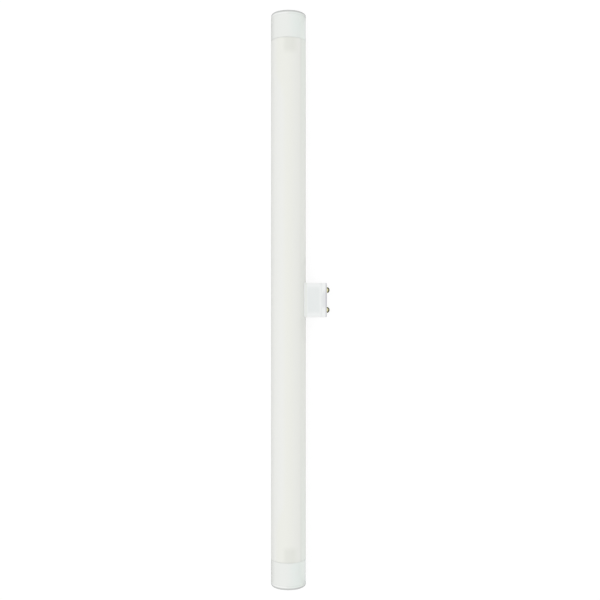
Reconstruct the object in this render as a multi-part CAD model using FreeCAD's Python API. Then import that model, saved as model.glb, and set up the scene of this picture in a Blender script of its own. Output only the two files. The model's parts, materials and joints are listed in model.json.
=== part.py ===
import FreeCAD, Part
import math
import os

# Tubular lamp with a side foot, in millimetres
# Each piece is made in the lamp's own frame: Y runs along the tube, +X goes from the tube's
# axis out through the foot, Z goes across. lay_down then turns it to the way it rests on a table,
# on the tube's side and the foot's lower edge, with the origin under the middle of the lamp.

# Driving dimensions of the tube and its end caps
lamp_length = 500.0
tube_diameter = 30.5
tube_wall = 1.3
rail_height = 1.0
rail_reach = 0.9
cap_length = 23.8
cap_wall = 1.6
cap_end_thickness = 2.2
cap_edge_radius = 2.0
cap_line_inset = 3.5
cap_line_width = 0.4
cap_line_depth = 0.12
cap_shoulder_chamfer = 0.3
spigot_length = 9.0
spigot_root = 3.0
spigot_wall = 1.4
tongue_reach = 11.0
tongue_width = 8.0
tongue_thickness = 1.5
tongue_rib_depth = 10.5
tongue_rib_thickness = 1.4

# Driving dimensions of the light strip
strip_depth = 3.55
tray_thickness = 1.0
board_thickness = 1.0
board_side_gap = 0.2
strip_end_gap = 0.5
chip_count = 48
chip_length = 3.5
chip_width = 2.8
chip_height = 0.7
chip_rim = 0.25
chip_dish_depth = 0.18
chip_tongue_gap = 2.3

# Driving dimensions of the foot
foot_width = 14.0
foot_wall = 1.5
foot_floor = 1.6
foot_edge_radius = 1.3
panel_margin = 3.6
panel_depth = 0.25
cover_height = 4.8
cover_end_thickness = 2.2
cover_lip_height = 1.8
cover_lip_wall = 1.0
cover_seam = 0.12
neck_length = 20.0
neck_wall = 1.4
neck_end_above_tray = 0.9
hook_reach = 1.0
hook_width = 5.0
slot_rib = 0.8

# Driving dimensions of the contacts
stud_spacing = 17.4
stud_to_foot_end = 6.3
stud_diameter = 5.3
stud_collar = 0.6
stud_dome = 1.9
shank_diameter = 2.4
rivet_diameter = 3.4
rivet_height = 0.6
tag_diameter = 4.6
tag_thickness = 0.4
tag_lug_length = 4.3
tag_lug_width = 2.0

# Driving dimensions of the driver in the foot
driver_thickness = 1.0
driver_depth = 2.1
pad_strip = 1.725
capacitor_diameter = 6.3
capacitor_headroom = 1.3
capacitor_edge = 0.4
capacitor_groove_height = 1.2
choke_diameter = 6.0
choke_headroom = 2.4
choke_flange = 1.0
choke_core_diameter = 3.0
winding_diameter = 5.2
film_width = 5.6
film_thickness = 2.6
film_headroom = 2.4
film_edge = 0.3
fuse_diameter = 2.3
fuse_length = 4.8
fuse_edge = 0.45
fuse_pin_spacing = 6.2
fuse_pin_diameter = 0.6
bridge_length = 4.7
controller_length = 4.9
package_width = 3.4
package_height = 1.3
package_standoff = 0.1
leg_width = 0.5
leg_reach = 0.9
leg_root = 0.3
leg_thickness = 0.2
lead_diameter = 1.0
lead_bend_radius = 0.8
lead_pad_inset = 0.8
output_lead_spacing = 11.0
lead_end_overhang = 0.3

# Clearances between pieces that are put together
slide_gap = 0.1
seat_gap = 0.1
lead_hole_gap = 0.1
lead_pass_gap = 0.3
lead_chip_gap = 0.4

# Worked-out sizes
tube_radius = tube_diameter / 2
bore_radius = tube_radius - tube_wall
tube_half = lamp_length / 2 - cap_length
strip_offset = bore_radius - strip_depth
board_face = strip_offset - board_thickness
tray_top = strip_offset + tray_thickness
tray_half_width = math.sqrt((bore_radius - slide_gap) ** 2 - tray_top ** 2)
rail_inner = tray_half_width - rail_reach
rail_top = strip_offset - slide_gap
board_half_width = rail_inner - board_side_gap
strip_half = tube_half - strip_end_gap
foot_half = stud_spacing / 2 + stud_to_foot_end
foot_side = foot_width / 2
cavity_half = foot_half - foot_wall
cavity_side = foot_side - foot_wall
saddle_radius = tube_radius + seat_gap
floor_radius = saddle_radius + foot_floor
driver_start = floor_radius + slide_gap
driver_end = driver_start + capacitor_diameter + 2 * pad_strip
driver_middle = (driver_start + driver_end) / 2
cover_seat = driver_end + slide_gap + cover_lip_height
foot_reach = cover_seat + cover_height
output_lead_height = chip_width / 2 + lead_chip_gap + lead_diameter / 2
passage_side = output_lead_height + lead_diameter / 2 + lead_pass_gap
neck_side = passage_side + neck_wall
neck_end = tray_top + neck_end_above_tray
cover_ceiling = foot_reach - cover_end_thickness
stud_radius = stud_diameter / 2
stud_tip = foot_reach + stud_collar + stud_dome
driver_low = -cavity_side + driver_depth
driver_high = driver_low + driver_thickness
driver_half = cavity_half - slide_gap
output_pad = driver_start + lead_pad_inset
input_pad = driver_end - lead_pad_inset
input_lead_place = stud_spacing / 2 - tag_lug_length + tag_lug_width / 2

# The way the lamp rests: the foot's lower outer edge comes down to the level of the tube's underside
lean_reach = foot_reach - foot_edge_radius
lean_side = foot_side - foot_edge_radius
lean_drop = tube_radius - foot_edge_radius
lean = math.asin(lean_drop / math.hypot(lean_reach, lean_side)) - math.atan2(lean_side, lean_reach)
dome_sphere = (stud_radius ** 2 + stud_dome ** 2) / (2 * stud_dome)
stud_extent = (stud_tip - dome_sphere) * math.cos(lean) + dome_sphere
foot_extent = lean_reach * math.cos(lean) + lean_side * math.sin(lean) + foot_edge_radius
middle_offset = (max(stud_extent, foot_extent) - tube_radius) / 2

along_x = FreeCAD.Vector(1, 0, 0)
along_y = FreeCAD.Vector(0, 1, 0)
along_z = FreeCAD.Vector(0, 0, 1)


def block(low, high):
    """A box between two corners."""
    size = [high[i] - low[i] for i in range(3)]
    return Part.makeBox(size[0], size[1], size[2], FreeCAD.Vector(*low))


def rod_x(radius, start, end, y=0.0, z=0.0):
    """A round bar along X."""
    return Part.makeCylinder(radius, end - start, FreeCAD.Vector(start, y, z), along_x)


def rod_y(radius, start, end):
    """A round bar on the tube's axis."""
    return Part.makeCylinder(radius, end - start, FreeCAD.Vector(0, start, 0), along_y)


def rod_z(radius, start, end, x, y):
    """A round bar standing on the driver board."""
    return Part.makeCylinder(radius, end - start, FreeCAD.Vector(x, y, start), along_z)


def mirrored_y(shape):
    """The same piece on the lamp's other half."""
    return shape.mirror(FreeCAD.Vector(0, 0, 0), along_y)


def wire_through(points, diameter, bend_radius):
    """A round wire of straight runs joined by tangent arcs."""
    edges = []
    start = points[0]
    for i in range(1, len(points) - 1):
        before = (points[i] - points[i - 1]).normalize()
        after = (points[i + 1] - points[i]).normalize()
        setback = bend_radius * math.tan(before.getAngle(after) / 2)
        arc_start = points[i] - before * setback
        arc_end = points[i] + after * setback
        centre = points[i] + (after - before).normalize() * math.hypot(setback, bend_radius)
        arc_middle = centre + (points[i] - centre).normalize() * bend_radius
        edges.append(Part.LineSegment(start, arc_start).toShape())
        edges.append(Part.Arc(arc_start, arc_middle, arc_end).toShape())
        start = arc_end
    edges.append(Part.LineSegment(start, points[-1]).toShape())
    section = Part.Wire([Part.makeCircle(diameter / 2, points[0], points[1] - points[0])])
    return Part.Wire(edges).makePipeShell([section], True, False)


def lay_down(shape):
    """Turns a piece from the lamp's own frame to the way the lamp rests."""
    placed = shape.copy()
    placed.rotate(FreeCAD.Vector(0, 0, 0), along_y, math.degrees(lean))
    placed.translate(FreeCAD.Vector(-middle_offset, 0, tube_radius))
    return placed


def diffuser_tube():
    """The opal tube, with two inner rails for the strip and a window for the foot's neck."""
    tube = rod_y(tube_radius, -tube_half, tube_half).cut(rod_y(bore_radius, -tube_half, tube_half))
    inside = rod_y(bore_radius + tube_wall / 2, -tube_half, tube_half)
    for side in (-1, 1):
        edges = sorted((side * rail_inner, side * tube_radius))
        rail = block((rail_top - rail_height, -tube_half, edges[0]), (rail_top, tube_half, edges[1]))
        tube = tube.fuse(rail.common(inside))
    window_half = neck_length / 2 + seat_gap
    window_side = neck_side + seat_gap
    window = block((rail_top, -window_half, -window_side), (tube_diameter, window_half, window_side))
    return tube.cut(window).removeSplitter()


def end_cap():
    """The cap on the +Y end: a hollow collar, a spigot inside the tube and a tongue under the strip."""
    end = lamp_length / 2
    collar = rod_y(tube_radius, tube_half, end)
    rim = [e for e in collar.Edges if abs(e.BoundBox.YMin - end) < slide_gap and e.BoundBox.YLength < slide_gap]
    collar = collar.makeFillet(cap_edge_radius, rim)
    lip = [e for e in collar.Edges if e.BoundBox.YMax < tube_half + slide_gap]
    collar = collar.makeChamfer(cap_shoulder_chamfer, lip)
    line_start = end - cap_line_inset - cap_line_width / 2
    line = rod_y(tube_radius + cap_line_width, line_start, line_start + cap_line_width)
    line = line.cut(rod_y(tube_radius - cap_line_depth, line_start, line_start + cap_line_width))
    hollow = rod_y(tube_radius - cap_wall, tube_half, end - cap_end_thickness)
    collar = collar.cut(line).cut(hollow)
    spigot_outer = bore_radius - slide_gap
    spigot = rod_y(spigot_outer, tube_half - spigot_length, tube_half + spigot_root)
    spigot = spigot.cut(rod_y(spigot_outer - spigot_wall, tube_half - spigot_length, tube_half + spigot_root))
    strip_room = block((rail_top - rail_height - slide_gap, tube_half - spigot_length, -tube_radius),
                       (tube_radius, tube_half, tube_radius))
    strip_room = strip_room.fuse(block((board_face - slide_gap, tube_half - spigot_length, -tube_radius),
                                       (tube_radius, tube_half, tube_radius)))
    spigot = spigot.cut(strip_room)
    tongue_top = board_face - slide_gap
    tongue_low = tongue_top - tongue_thickness
    root = end - cap_end_thickness
    tongue = block((tongue_low, tube_half - tongue_reach, -tongue_width / 2),
                   (tongue_top, root, tongue_width / 2))
    rib = block((tongue_top - tongue_rib_depth, tube_half - tongue_reach, -tongue_rib_thickness / 2),
                (tongue_top, root, tongue_rib_thickness / 2))
    return collar.fuse([spigot, tongue, rib]).removeSplitter()


def heat_sink_tray():
    """The aluminium strip that slides in above the rails and carries the light board."""
    tray = block((strip_offset, -strip_half, -tray_half_width), (tray_top, strip_half, tray_half_width))
    for y in output_lead_places():
        tray = tray.cut(rod_x(lead_diameter, strip_offset, tray_top, y, output_lead_height))
    return tray


def light_board():
    """The white board under the strip, with a hole for each supply lead."""
    board = block((board_face, -strip_half, -board_half_width), (strip_offset, strip_half, board_half_width))
    hole_radius = lead_diameter / 2 + lead_hole_gap
    for y in output_lead_places():
        board = board.cut(rod_x(hole_radius, board_face, strip_offset, y, output_lead_height))
    return board


def light_chips():
    """The row of light-emitting packages, each a block with a shallow dish in its face."""
    first = -tube_half + tongue_reach + chip_tongue_gap + chip_length / 2
    pitch = -2 * first / (chip_count - 1)
    chips = []
    for i in range(chip_count):
        y = first + i * pitch
        chip = block((board_face - chip_height, y - chip_length / 2, -chip_width / 2),
                     (board_face, y + chip_length / 2, chip_width / 2))
        dish_start = board_face - chip_height
        dish = rod_x(chip_width / 2 - chip_rim, dish_start, dish_start + chip_dish_depth, y)
        chips.append(chip.cut(dish))
    return Part.makeCompound(chips)


def foot_block(start, end):
    """A length of the foot's outer form, with its four long edges rounded."""
    body = block((start, -foot_half, -foot_side), (end, foot_half, foot_side))
    long_edges = [e for e in body.Edges if e.BoundBox.XLength > slide_gap]
    return body.makeFillet(foot_edge_radius, long_edges)


def foot_housing():
    """The foot's body: a saddle on the tube, a hollow for the driver and a neck with two hooks."""
    body = foot_block(0, cover_seat - cover_seam)
    cavity = block((0, -cavity_half, -cavity_side), (cover_seat, cavity_half, cavity_side))
    cavity = cavity.cut(rod_y(floor_radius, -foot_half, foot_half))
    body = body.cut(rod_y(saddle_radius, -foot_half, foot_half)).cut(cavity)
    panel_start = saddle_radius + panel_margin / 2
    for side in (-1, 1):
        edges = sorted((side * (foot_side - panel_depth), side * foot_width))
        panel = block((panel_start, panel_margin - foot_half, edges[0]),
                      (cover_seat - panel_margin / 2, foot_half - panel_margin, edges[1]))
        body = body.cut(panel)
    neck = block((neck_end, -neck_length / 2, -neck_side), (floor_radius, neck_length / 2, neck_side))
    body = body.fuse(neck)
    hook_top = math.sqrt(bore_radius ** 2 - (hook_width / 2) ** 2) - seat_gap
    for side in (-1, 1):
        edges = sorted((side * (neck_length / 2 - neck_wall), side * (neck_length / 2 + hook_reach)))
        hook = block((neck_end, edges[0], -hook_width / 2), (hook_top, edges[1], hook_width / 2))
        body = body.fuse(hook)
    passage = block((neck_end, neck_wall - neck_length / 2, -passage_side),
                    (floor_radius, neck_length / 2 - neck_wall, passage_side))
    body = body.cut(passage)
    for side in (-1, 1):
        edges = sorted((side * (cavity_half - slot_rib), side * (cavity_half + foot_wall / 2)))
        ledge = block((floor_radius - foot_floor / 2, edges[0], -foot_side + foot_wall / 2),
                      (driver_end, edges[1], driver_low - slide_gap))
        keeper = block((floor_radius - foot_floor / 2, edges[0], driver_high + slide_gap),
                       (driver_end, edges[1], driver_high + slide_gap + slot_rib))
        body = body.fuse([ledge, keeper])
    return body.removeSplitter()


def foot_end_cover():
    """The plate that closes the foot, with a lip inside the housing and a hole for each stud."""
    cover = block((cover_seat, -foot_half, -foot_side), (foot_reach, foot_half, foot_side))
    outer_edges = [e for e in cover.Edges if e.BoundBox.XMax > cover_seat + slide_gap]
    cover = cover.makeFillet(foot_edge_radius, outer_edges)
    lip = block((cover_seat - cover_lip_height, slide_gap - cavity_half, slide_gap - cavity_side),
                (cover_seat, cavity_half - slide_gap, cavity_side - slide_gap))
    lip_half = cavity_half - slide_gap - cover_lip_wall
    lip_side = cavity_side - slide_gap - cover_lip_wall
    hollow = block((cover_seat - cover_lip_height, -lip_half, -lip_side), (cover_ceiling, lip_half, lip_side))
    cover = cover.fuse(lip).cut(hollow)
    for side in (-1, 1):
        cover = cover.cut(rod_x(shank_diameter / 2, cover_ceiling, foot_reach, side * stud_spacing / 2))
    return cover.removeSplitter()


def contact_stud():
    """The domed brass stud at +Y: collar, dome, shank through the cover and a peened inner end."""
    y = stud_spacing / 2
    collar_end = foot_reach + stud_collar
    tag_face = cover_ceiling - tag_thickness
    collar = rod_x(stud_radius, foot_reach, collar_end, y)
    dome = Part.makeSphere(dome_sphere, FreeCAD.Vector(stud_tip - dome_sphere, y, 0))
    dome = dome.common(rod_x(stud_diameter, collar_end, stud_tip + stud_collar, y))
    shank = rod_x(shank_diameter / 2, tag_face - rivet_height, foot_reach, y)
    rivet = rod_x(rivet_diameter / 2, tag_face - rivet_height, tag_face, y)
    return collar.fuse([dome, shank, rivet]).removeSplitter()


def stud_tag():
    """The solder tag under the stud's peened end, with a lug towards the lamp's middle."""
    y = stud_spacing / 2
    tag_face = cover_ceiling - tag_thickness
    ring = rod_x(tag_diameter / 2, tag_face, cover_ceiling, y)
    lug = block((tag_face, y - tag_lug_length, -tag_lug_width / 2), (cover_ceiling, y, tag_lug_width / 2))
    hole = rod_x(shank_diameter / 2, tag_face, cover_ceiling, y)
    return ring.fuse(lug).cut(hole).removeSplitter()


def driver_board():
    """The driver's circuit board, held by its two ends in the housing's slots."""
    return block((driver_start, -driver_half, driver_low), (driver_end, driver_half, driver_high))


def part_places():
    """Where the four tall parts stand along the driver board, evenly spread between the slots."""
    widths = (fuse_diameter, film_thickness, choke_diameter, capacitor_diameter)
    room = 2 * (cavity_half - slot_rib)
    gap = (room - sum(widths)) / (len(widths) + 1)
    places = []
    edge = -room / 2
    for width in widths:
        places.append(edge + gap + width / 2)
        edge += gap + width
    return places


def smoothing_capacitor(y):
    """A small can capacitor with a rolled groove near its foot."""
    radius = capacitor_diameter / 2
    can = rod_z(radius, driver_high, cavity_side - capacitor_headroom, driver_middle, y)
    rims = [e for e in can.Edges if e.BoundBox.ZLength < slide_gap]
    can = can.makeFillet(capacitor_edge, rims)
    groove_centre = FreeCAD.Vector(driver_middle, y, driver_high + capacitor_groove_height)
    groove = Part.makeTorus(radius, capacitor_edge / 2, groove_centre, along_z)
    return can.cut(groove)


def choke_core(y):
    """The ferrite drum of the choke."""
    top = cavity_side - choke_headroom
    drum = rod_z(choke_core_diameter / 2, driver_high, top, driver_middle, y)
    low_flange = rod_z(choke_diameter / 2, driver_high, driver_high + choke_flange, driver_middle, y)
    high_flange = rod_z(choke_diameter / 2, top - choke_flange, top, driver_middle, y)
    return drum.fuse([low_flange, high_flange]).removeSplitter()


def choke_winding(y):
    """The copper winding between the drum's flanges, as one closed coil form."""
    low = driver_high + choke_flange
    high = cavity_side - choke_headroom - choke_flange
    coil = rod_z(winding_diameter / 2, low, high, driver_middle, y)
    return coil.cut(rod_z(choke_core_diameter / 2, low, high, driver_middle, y))


def film_capacitor(y):
    """A boxed film capacitor standing on the board."""
    top = cavity_side - film_headroom
    body = block((driver_middle - film_width / 2, y - film_thickness / 2, driver_high),
                 (driver_middle + film_width / 2, y + film_thickness / 2, top))
    upper = [e for e in body.Edges if e.BoundBox.ZMax > top - slide_gap]
    return body.makeFillet(film_edge, upper)


def fuse_resistor(y):
    """A fusible resistor lying along the board, with its two wire ends bent down."""
    axis_height = driver_high + fuse_diameter / 2 + slide_gap
    start = driver_middle - fuse_length / 2
    body = rod_x(fuse_diameter / 2, start, start + fuse_length, y, axis_height)
    rims = [e for e in body.Edges if e.BoundBox.XLength < slide_gap]
    body = body.makeFillet(fuse_edge, rims)
    half = fuse_pin_spacing / 2
    route = [FreeCAD.Vector(driver_middle - half, y, driver_high),
             FreeCAD.Vector(driver_middle - half, y, axis_height),
             FreeCAD.Vector(driver_middle + half, y, axis_height),
             FreeCAD.Vector(driver_middle + half, y, driver_high)]
    return body.fuse(wire_through(route, fuse_pin_diameter, fuse_pin_diameter)).removeSplitter()


def flat_package(y, length, legs):
    """A moulded package under the driver board, with its legs against the board."""
    high = driver_low - package_standoff
    body = block((driver_middle - package_width / 2, y - length / 2, high - package_height),
                 (driver_middle + package_width / 2, y + length / 2, high))
    pitch = length / legs
    for side in (-1, 1):
        edges = sorted((side * (package_width / 2 - leg_root), side * (package_width / 2 + leg_reach)))
        for i in range(legs):
            middle = y - length / 2 + (i + 0.5) * pitch
            body = body.fuse(block(
                (driver_middle + edges[0], middle - leg_width / 2, driver_low - package_standoff - leg_thickness),
                (driver_middle + edges[1], middle + leg_width / 2, driver_low)))
    return body.cut(driver_board()).removeSplitter()


def input_lead():
    """The wire from the solder tag at +Y to the driver board."""
    y = input_lead_place
    route = [FreeCAD.Vector(cover_ceiling - tag_thickness, y, 0),
             FreeCAD.Vector(input_pad, y, 0),
             FreeCAD.Vector(input_pad, y, driver_high)]
    return wire_through(route, lead_diameter, lead_bend_radius)


def output_lead_places():
    """Where the two supply leads pass from the foot to the light board."""
    return (-output_lead_spacing / 2, output_lead_spacing / 2)


def output_lead(y):
    """A wire from the driver board through the neck and the strip to the light board."""
    route = [FreeCAD.Vector(output_pad, y, driver_high),
             FreeCAD.Vector(output_pad, y, output_lead_height),
             FreeCAD.Vector(board_face - lead_end_overhang, y, output_lead_height)]
    return wire_through(route, lead_diameter, lead_bend_radius)


fuse_place, film_place, choke_place, capacitor_place = part_places()
package_place = driver_half / 2
lead_low, lead_high = output_lead_places()

pieces = {
    "diffuser_tube": diffuser_tube(),
    "end_cap_upper": end_cap(),
    "end_cap_lower": mirrored_y(end_cap()),
    "heat_sink_tray": heat_sink_tray(),
    "led_board": light_board(),
    "led_chips": light_chips(),
    "foot_housing": foot_housing(),
    "foot_end_cover": foot_end_cover(),
    "contact_stud_upper": contact_stud(),
    "contact_stud_lower": mirrored_y(contact_stud()),
    "stud_tag_upper": stud_tag(),
    "stud_tag_lower": mirrored_y(stud_tag()),
    "driver_board": driver_board(),
    "smoothing_capacitor": smoothing_capacitor(capacitor_place),
    "choke_core": choke_core(choke_place),
    "choke_winding": choke_winding(choke_place),
    "film_capacitor": film_capacitor(film_place),
    "fuse_resistor": fuse_resistor(fuse_place),
    "bridge_rectifier": flat_package(package_place, bridge_length, 2),
    "driver_chip": flat_package(-package_place, controller_length, 4),
    "input_lead_upper": input_lead(),
    "input_lead_lower": mirrored_y(input_lead()),
    "output_lead_plus": output_lead(lead_high),
    "output_lead_minus": output_lead(lead_low),
}

os.makedirs("parts", exist_ok=True)
for name, piece in pieces.items():
    shape = lay_down(piece)
    shape.exportStep("parts/" + name + ".step")
    print(name, len(shape.Solids), shape.isValid(), round(shape.Volume / 1000, 3), "cm3")
print("lean", round(math.degrees(lean), 3), "middle", round(middle_offset, 3))
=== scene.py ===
import json
import math

import bmesh
import bpy
from mathutils import Matrix, Vector


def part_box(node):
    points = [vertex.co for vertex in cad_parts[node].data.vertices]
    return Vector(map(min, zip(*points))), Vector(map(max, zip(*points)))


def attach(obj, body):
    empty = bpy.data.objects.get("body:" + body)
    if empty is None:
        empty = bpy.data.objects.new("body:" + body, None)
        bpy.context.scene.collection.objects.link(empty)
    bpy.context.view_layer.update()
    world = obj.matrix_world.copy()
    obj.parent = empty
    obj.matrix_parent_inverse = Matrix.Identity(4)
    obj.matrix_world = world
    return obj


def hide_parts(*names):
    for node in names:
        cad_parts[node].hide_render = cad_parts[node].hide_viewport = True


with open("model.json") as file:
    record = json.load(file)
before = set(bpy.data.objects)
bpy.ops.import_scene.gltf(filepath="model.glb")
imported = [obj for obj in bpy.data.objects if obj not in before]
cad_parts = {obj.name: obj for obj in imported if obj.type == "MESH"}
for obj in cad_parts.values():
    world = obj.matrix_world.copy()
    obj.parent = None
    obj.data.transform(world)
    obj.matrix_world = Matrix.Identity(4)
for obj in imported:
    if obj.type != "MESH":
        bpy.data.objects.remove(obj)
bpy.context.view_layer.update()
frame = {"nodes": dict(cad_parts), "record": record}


# Where the lamp lies
# The lamp rests on the tube's side and the foot's lower edge, so it leans over. Every piece below
# is made in the lamp's own frame, Y along the tube and +X out through the foot.
cap_low, cap_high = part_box("end_cap_upper")
tube_radius = (cap_high.z - cap_low.z) / 2
tube_axis = Vector(((cap_low.x + cap_high.x) / 2, 0, (cap_low.z + cap_high.z) / 2))
lamp_half = cap_high.y
tube_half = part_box("diffuser_tube")[1].y
mounts = {mount["name"]: mount for mount in frame["record"]["mounts"]}
foot_way = Vector(mounts["foot_block"]["axis"])
foot_reach = (Vector(mounts["foot_block"]["pos_m"]) - tube_axis).dot(foot_way)
lean = math.atan2(-foot_way.z, foot_way.x)
lamp_to_row = Matrix.Translation(tube_axis) @ Matrix.Rotation(lean, 4, "Y")


# The camera
# It looks straight down the lamp's Z, with the tube upright in the picture and the foot to the right.
# The distance comes from how far the caps' arcs bulge, and the lens from the tube's length.
picture_side = 600
pixels_per_metre = 1140.2
camera_distance = 0.757
sensor_side = 36.0
centre_beside_axis = 0.0101
camera_data = bpy.data.cameras.new("camera")
camera_data.sensor_width = sensor_side
camera_data.lens = sensor_side * pixels_per_metre * camera_distance / picture_side
camera = bpy.data.objects.new("camera", camera_data)
bpy.context.collection.objects.link(camera)
camera.matrix_world = lamp_to_row @ Matrix.Translation((centre_beside_axis, 0, camera_distance))
bpy.context.scene.camera = camera
bpy.context.scene.view_settings.view_transform = "Standard"


# The floor
# A wide white sheet under the lamp. The camera and glossy pieces see it near to pure white, with
# a share of plain shading that keeps the lamp's shadow. Other rays meet its true colour.
def node(tree, kind, **settings):
    """A new shader or geometry node with its settings."""
    made = tree.nodes.new(kind)
    for setting, value in settings.items():
        setattr(made, setting, value)
    return made


def link(tree, *links):
    """Makes links, each given as a node, its output, the next node and its input."""
    for giver, given, taker, taken in links:
        tree.links.new(giver.outputs[given], taker.inputs[taken])


def seen_directly(tree):
    """A node that gives 1 for camera, glossy and transmission rays, and else 0."""
    path = node(tree, "ShaderNodeLightPath")
    two_kinds = node(tree, "ShaderNodeMath", operation="MAXIMUM")
    any_kind = node(tree, "ShaderNodeMath", operation="MAXIMUM")
    link(tree,
         (path, "Is Camera Ray", two_kinds, 0),
         (path, "Is Glossy Ray", two_kinds, 1),
         (two_kinds, 0, any_kind, 0),
         (path, "Is Transmission Ray", any_kind, 1))
    return any_kind


def from_form(name, form):
    """An object made from a bmesh, with its faces turned outward."""
    bmesh.ops.recalc_face_normals(form, faces=form.faces)
    mesh = bpy.data.meshes.new(name)
    form.to_mesh(mesh)
    form.free()
    made = bpy.data.objects.new(name, mesh)
    bpy.context.collection.objects.link(made)
    return made


floor_side = 6.0
floor_tiles = 12
floor_white = (0.9, 0.9, 0.9, 1)
floor_shade = (0.144, 0.144, 0.144, 1)
floor_glow = 0.885
floor_form = bmesh.new()
bmesh.ops.create_grid(floor_form, x_segments=floor_tiles, y_segments=floor_tiles, size=floor_side / 2)
floor = from_form("floor", floor_form)
white_sheet = bpy.data.materials.new("white_sheet")
white_sheet.use_nodes = True
tree = white_sheet.node_tree
tree.nodes.remove(tree.nodes["Principled BSDF"])
true_shade = node(tree, "ShaderNodeBsdfDiffuse")
true_shade.inputs["Color"].default_value = floor_white
kept_shade = node(tree, "ShaderNodeBsdfDiffuse")
kept_shade.inputs["Color"].default_value = floor_shade
glow = node(tree, "ShaderNodeEmission")
glow.inputs["Strength"].default_value = floor_glow
bright_sheet = node(tree, "ShaderNodeAddShader")
switch = node(tree, "ShaderNodeMixShader")
link(tree,
     (kept_shade, 0, bright_sheet, 0),
     (glow, 0, bright_sheet, 1),
     (seen_directly(tree), 0, switch, "Fac"),
     (true_shade, 0, switch, 1),
     (bright_sheet, 0, switch, 2),
     (switch, 0, tree.nodes["Material Output"], "Surface"))
floor.data.materials.append(white_sheet)


# The studio light
# A white room lights the lamp from all round, its ceiling a little brighter than its walls, and
# a wide softbox above and to the left adds the rest.
wall_strength = 0.69
ceiling_strength = 1.11
world = bpy.data.worlds.new("white_room")
world.use_nodes = True
bpy.context.scene.world = world
tree = world.node_tree
room_light = tree.nodes["Background"]
room_white = node(tree, "ShaderNodeBackground")
for background in (room_light, room_white):
    background.inputs["Color"].default_value = (1, 1, 1, 1)
way = node(tree, "ShaderNodeTexCoord")
height = node(tree, "ShaderNodeSeparateXYZ")
slope = node(tree, "ShaderNodeMapRange")
slope.inputs["To Min"].default_value = wall_strength
slope.inputs["To Max"].default_value = ceiling_strength
switch = node(tree, "ShaderNodeMixShader")
link(tree,
     (way, "Generated", height, 0),
     (height, "Z", slope, "Value"),
     (slope, "Result", room_light, "Strength"),
     (seen_directly(tree), 0, switch, "Fac"),
     (room_light, 0, switch, 1),
     (room_white, 0, switch, 2),
     (switch, 0, tree.nodes["World Output"], "Surface"))

softbox_place = Vector((-0.3, 0, 1.2))
softbox_light = bpy.data.lights.new("softbox", "AREA")
softbox_light.size = 0.9
softbox_light.energy = 0.6
softbox = bpy.data.objects.new("softbox", softbox_light)
bpy.context.collection.objects.link(softbox)
softbox_turn = (tube_axis - softbox_place).to_track_quat("-Z", "Y").to_matrix().to_4x4()
softbox.matrix_world = Matrix.Translation(softbox_place) @ softbox_turn


# The black cards
# Black cards lie flat on the sheet left of the lamp, past both ends and right of the foot, and two
# small ones stand beside the foot. Only gloss picks them up, as a dark outline of domes and edges.
card_speckle = 60
card_height = 0.0002
card_reach = 0.4
card_left = -0.03
card_far = 0.25
card_end = lamp_half + 0.0005
flag_side = 0.034
flag_start = 0.004
flag_end = 0.12
flag_top = 0.017
foot_card_start = 0.0235
card_sides = (
    (-card_far, card_left, -card_reach, card_reach, card_height),
    (card_left, card_far, card_end, card_reach, card_height),
    (card_left, card_far, -card_reach, -card_end, card_height),
    (foot_card_start, flag_end, -flag_side, flag_side, card_height),
    (flag_start, flag_end, -flag_side, -flag_side, flag_top),
    (flag_start, flag_end, flag_side, flag_side, flag_top),
)
card_form = bmesh.new()
for left, right, near, far, top in card_sides:
    corners = ((left, near, card_height), (right, near, card_height), (right, far, top), (left, far, top))
    card_form.faces.new([card_form.verts.new(corner) for corner in corners])
card = from_form("black_card", card_form)
card_black = bpy.data.materials.new("black_card")
card_black.use_nodes = True
tree = card_black.node_tree
card_place = node(tree, "ShaderNodeTexCoord")
card_grain = node(tree, "ShaderNodeTexNoise")
card_grain.inputs["Scale"].default_value = card_speckle
card_tones = node(tree, "ShaderNodeValToRGB")
card_tones.color_ramp.elements[0].color = (0.03, 0.03, 0.03, 1)
card_tones.color_ramp.elements[1].color = (0.07, 0.07, 0.07, 1)
card_shader = tree.nodes["Principled BSDF"]
card_shader.inputs["Specular IOR Level"].default_value = 0
link(tree,
     (card_place, "Object", card_grain, "Vector"),
     (card_grain, "Fac", card_tones, "Fac"),
     (card_tones, "Color", card_shader, "Base Color"))
card.data.materials.append(card_black)
card.visible_camera = False
card.visible_diffuse = False
card.visible_transmission = False
card.visible_shadow = False


# The diffuser tube
# An extruded tube of opal polycarbonate with two inner rails that hold the light strip. A window in its
# back lets the foot's neck through, and painted shade draws the strip inside as a faint line on each side.
def plain_mesh(maker):
    """Turns what an object's modifiers make into its own mesh."""
    bpy.context.view_layer.update()
    evaluated = maker.evaluated_get(bpy.context.evaluated_depsgraph_get())
    made = bpy.data.meshes.new_from_object(evaluated)
    maker.modifiers.clear()
    maker.data = made
    return maker


def box_form(low, high):
    """A box between two corners, as a bmesh."""
    form = bmesh.new()
    size = Vector([high[i] - low[i] for i in range(3)])
    middle = Vector([(high[i] + low[i]) / 2 for i in range(3)])
    bmesh.ops.create_cube(form, size=1, matrix=Matrix.LocRotScale(middle, None, size))
    return form


def box_piece(name, low, high):
    """A box between two corners, as an object."""
    return from_form(name, box_form(low, high))


def combine(body, tool, operation):
    """Adds a closed mesh to another or cuts it away, and removes it."""
    step = body.modifiers.new(operation, "BOOLEAN")
    step.operation = operation
    step.solver = "EXACT"
    step.object = tool
    plain_mesh(body)
    bpy.data.objects.remove(tool)
    return body


def arc(radius, start, end, steps):
    """Points on an arc, from one angle to another."""
    angles = [start + (end - start) * i / steps for i in range(steps + 1)]
    return [(radius * math.cos(angle), radius * math.sin(angle)) for angle in angles]


def ring(radius, steps):
    """Points on a full circle."""
    return arc(radius, 0, math.tau, steps)[:-1]


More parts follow.
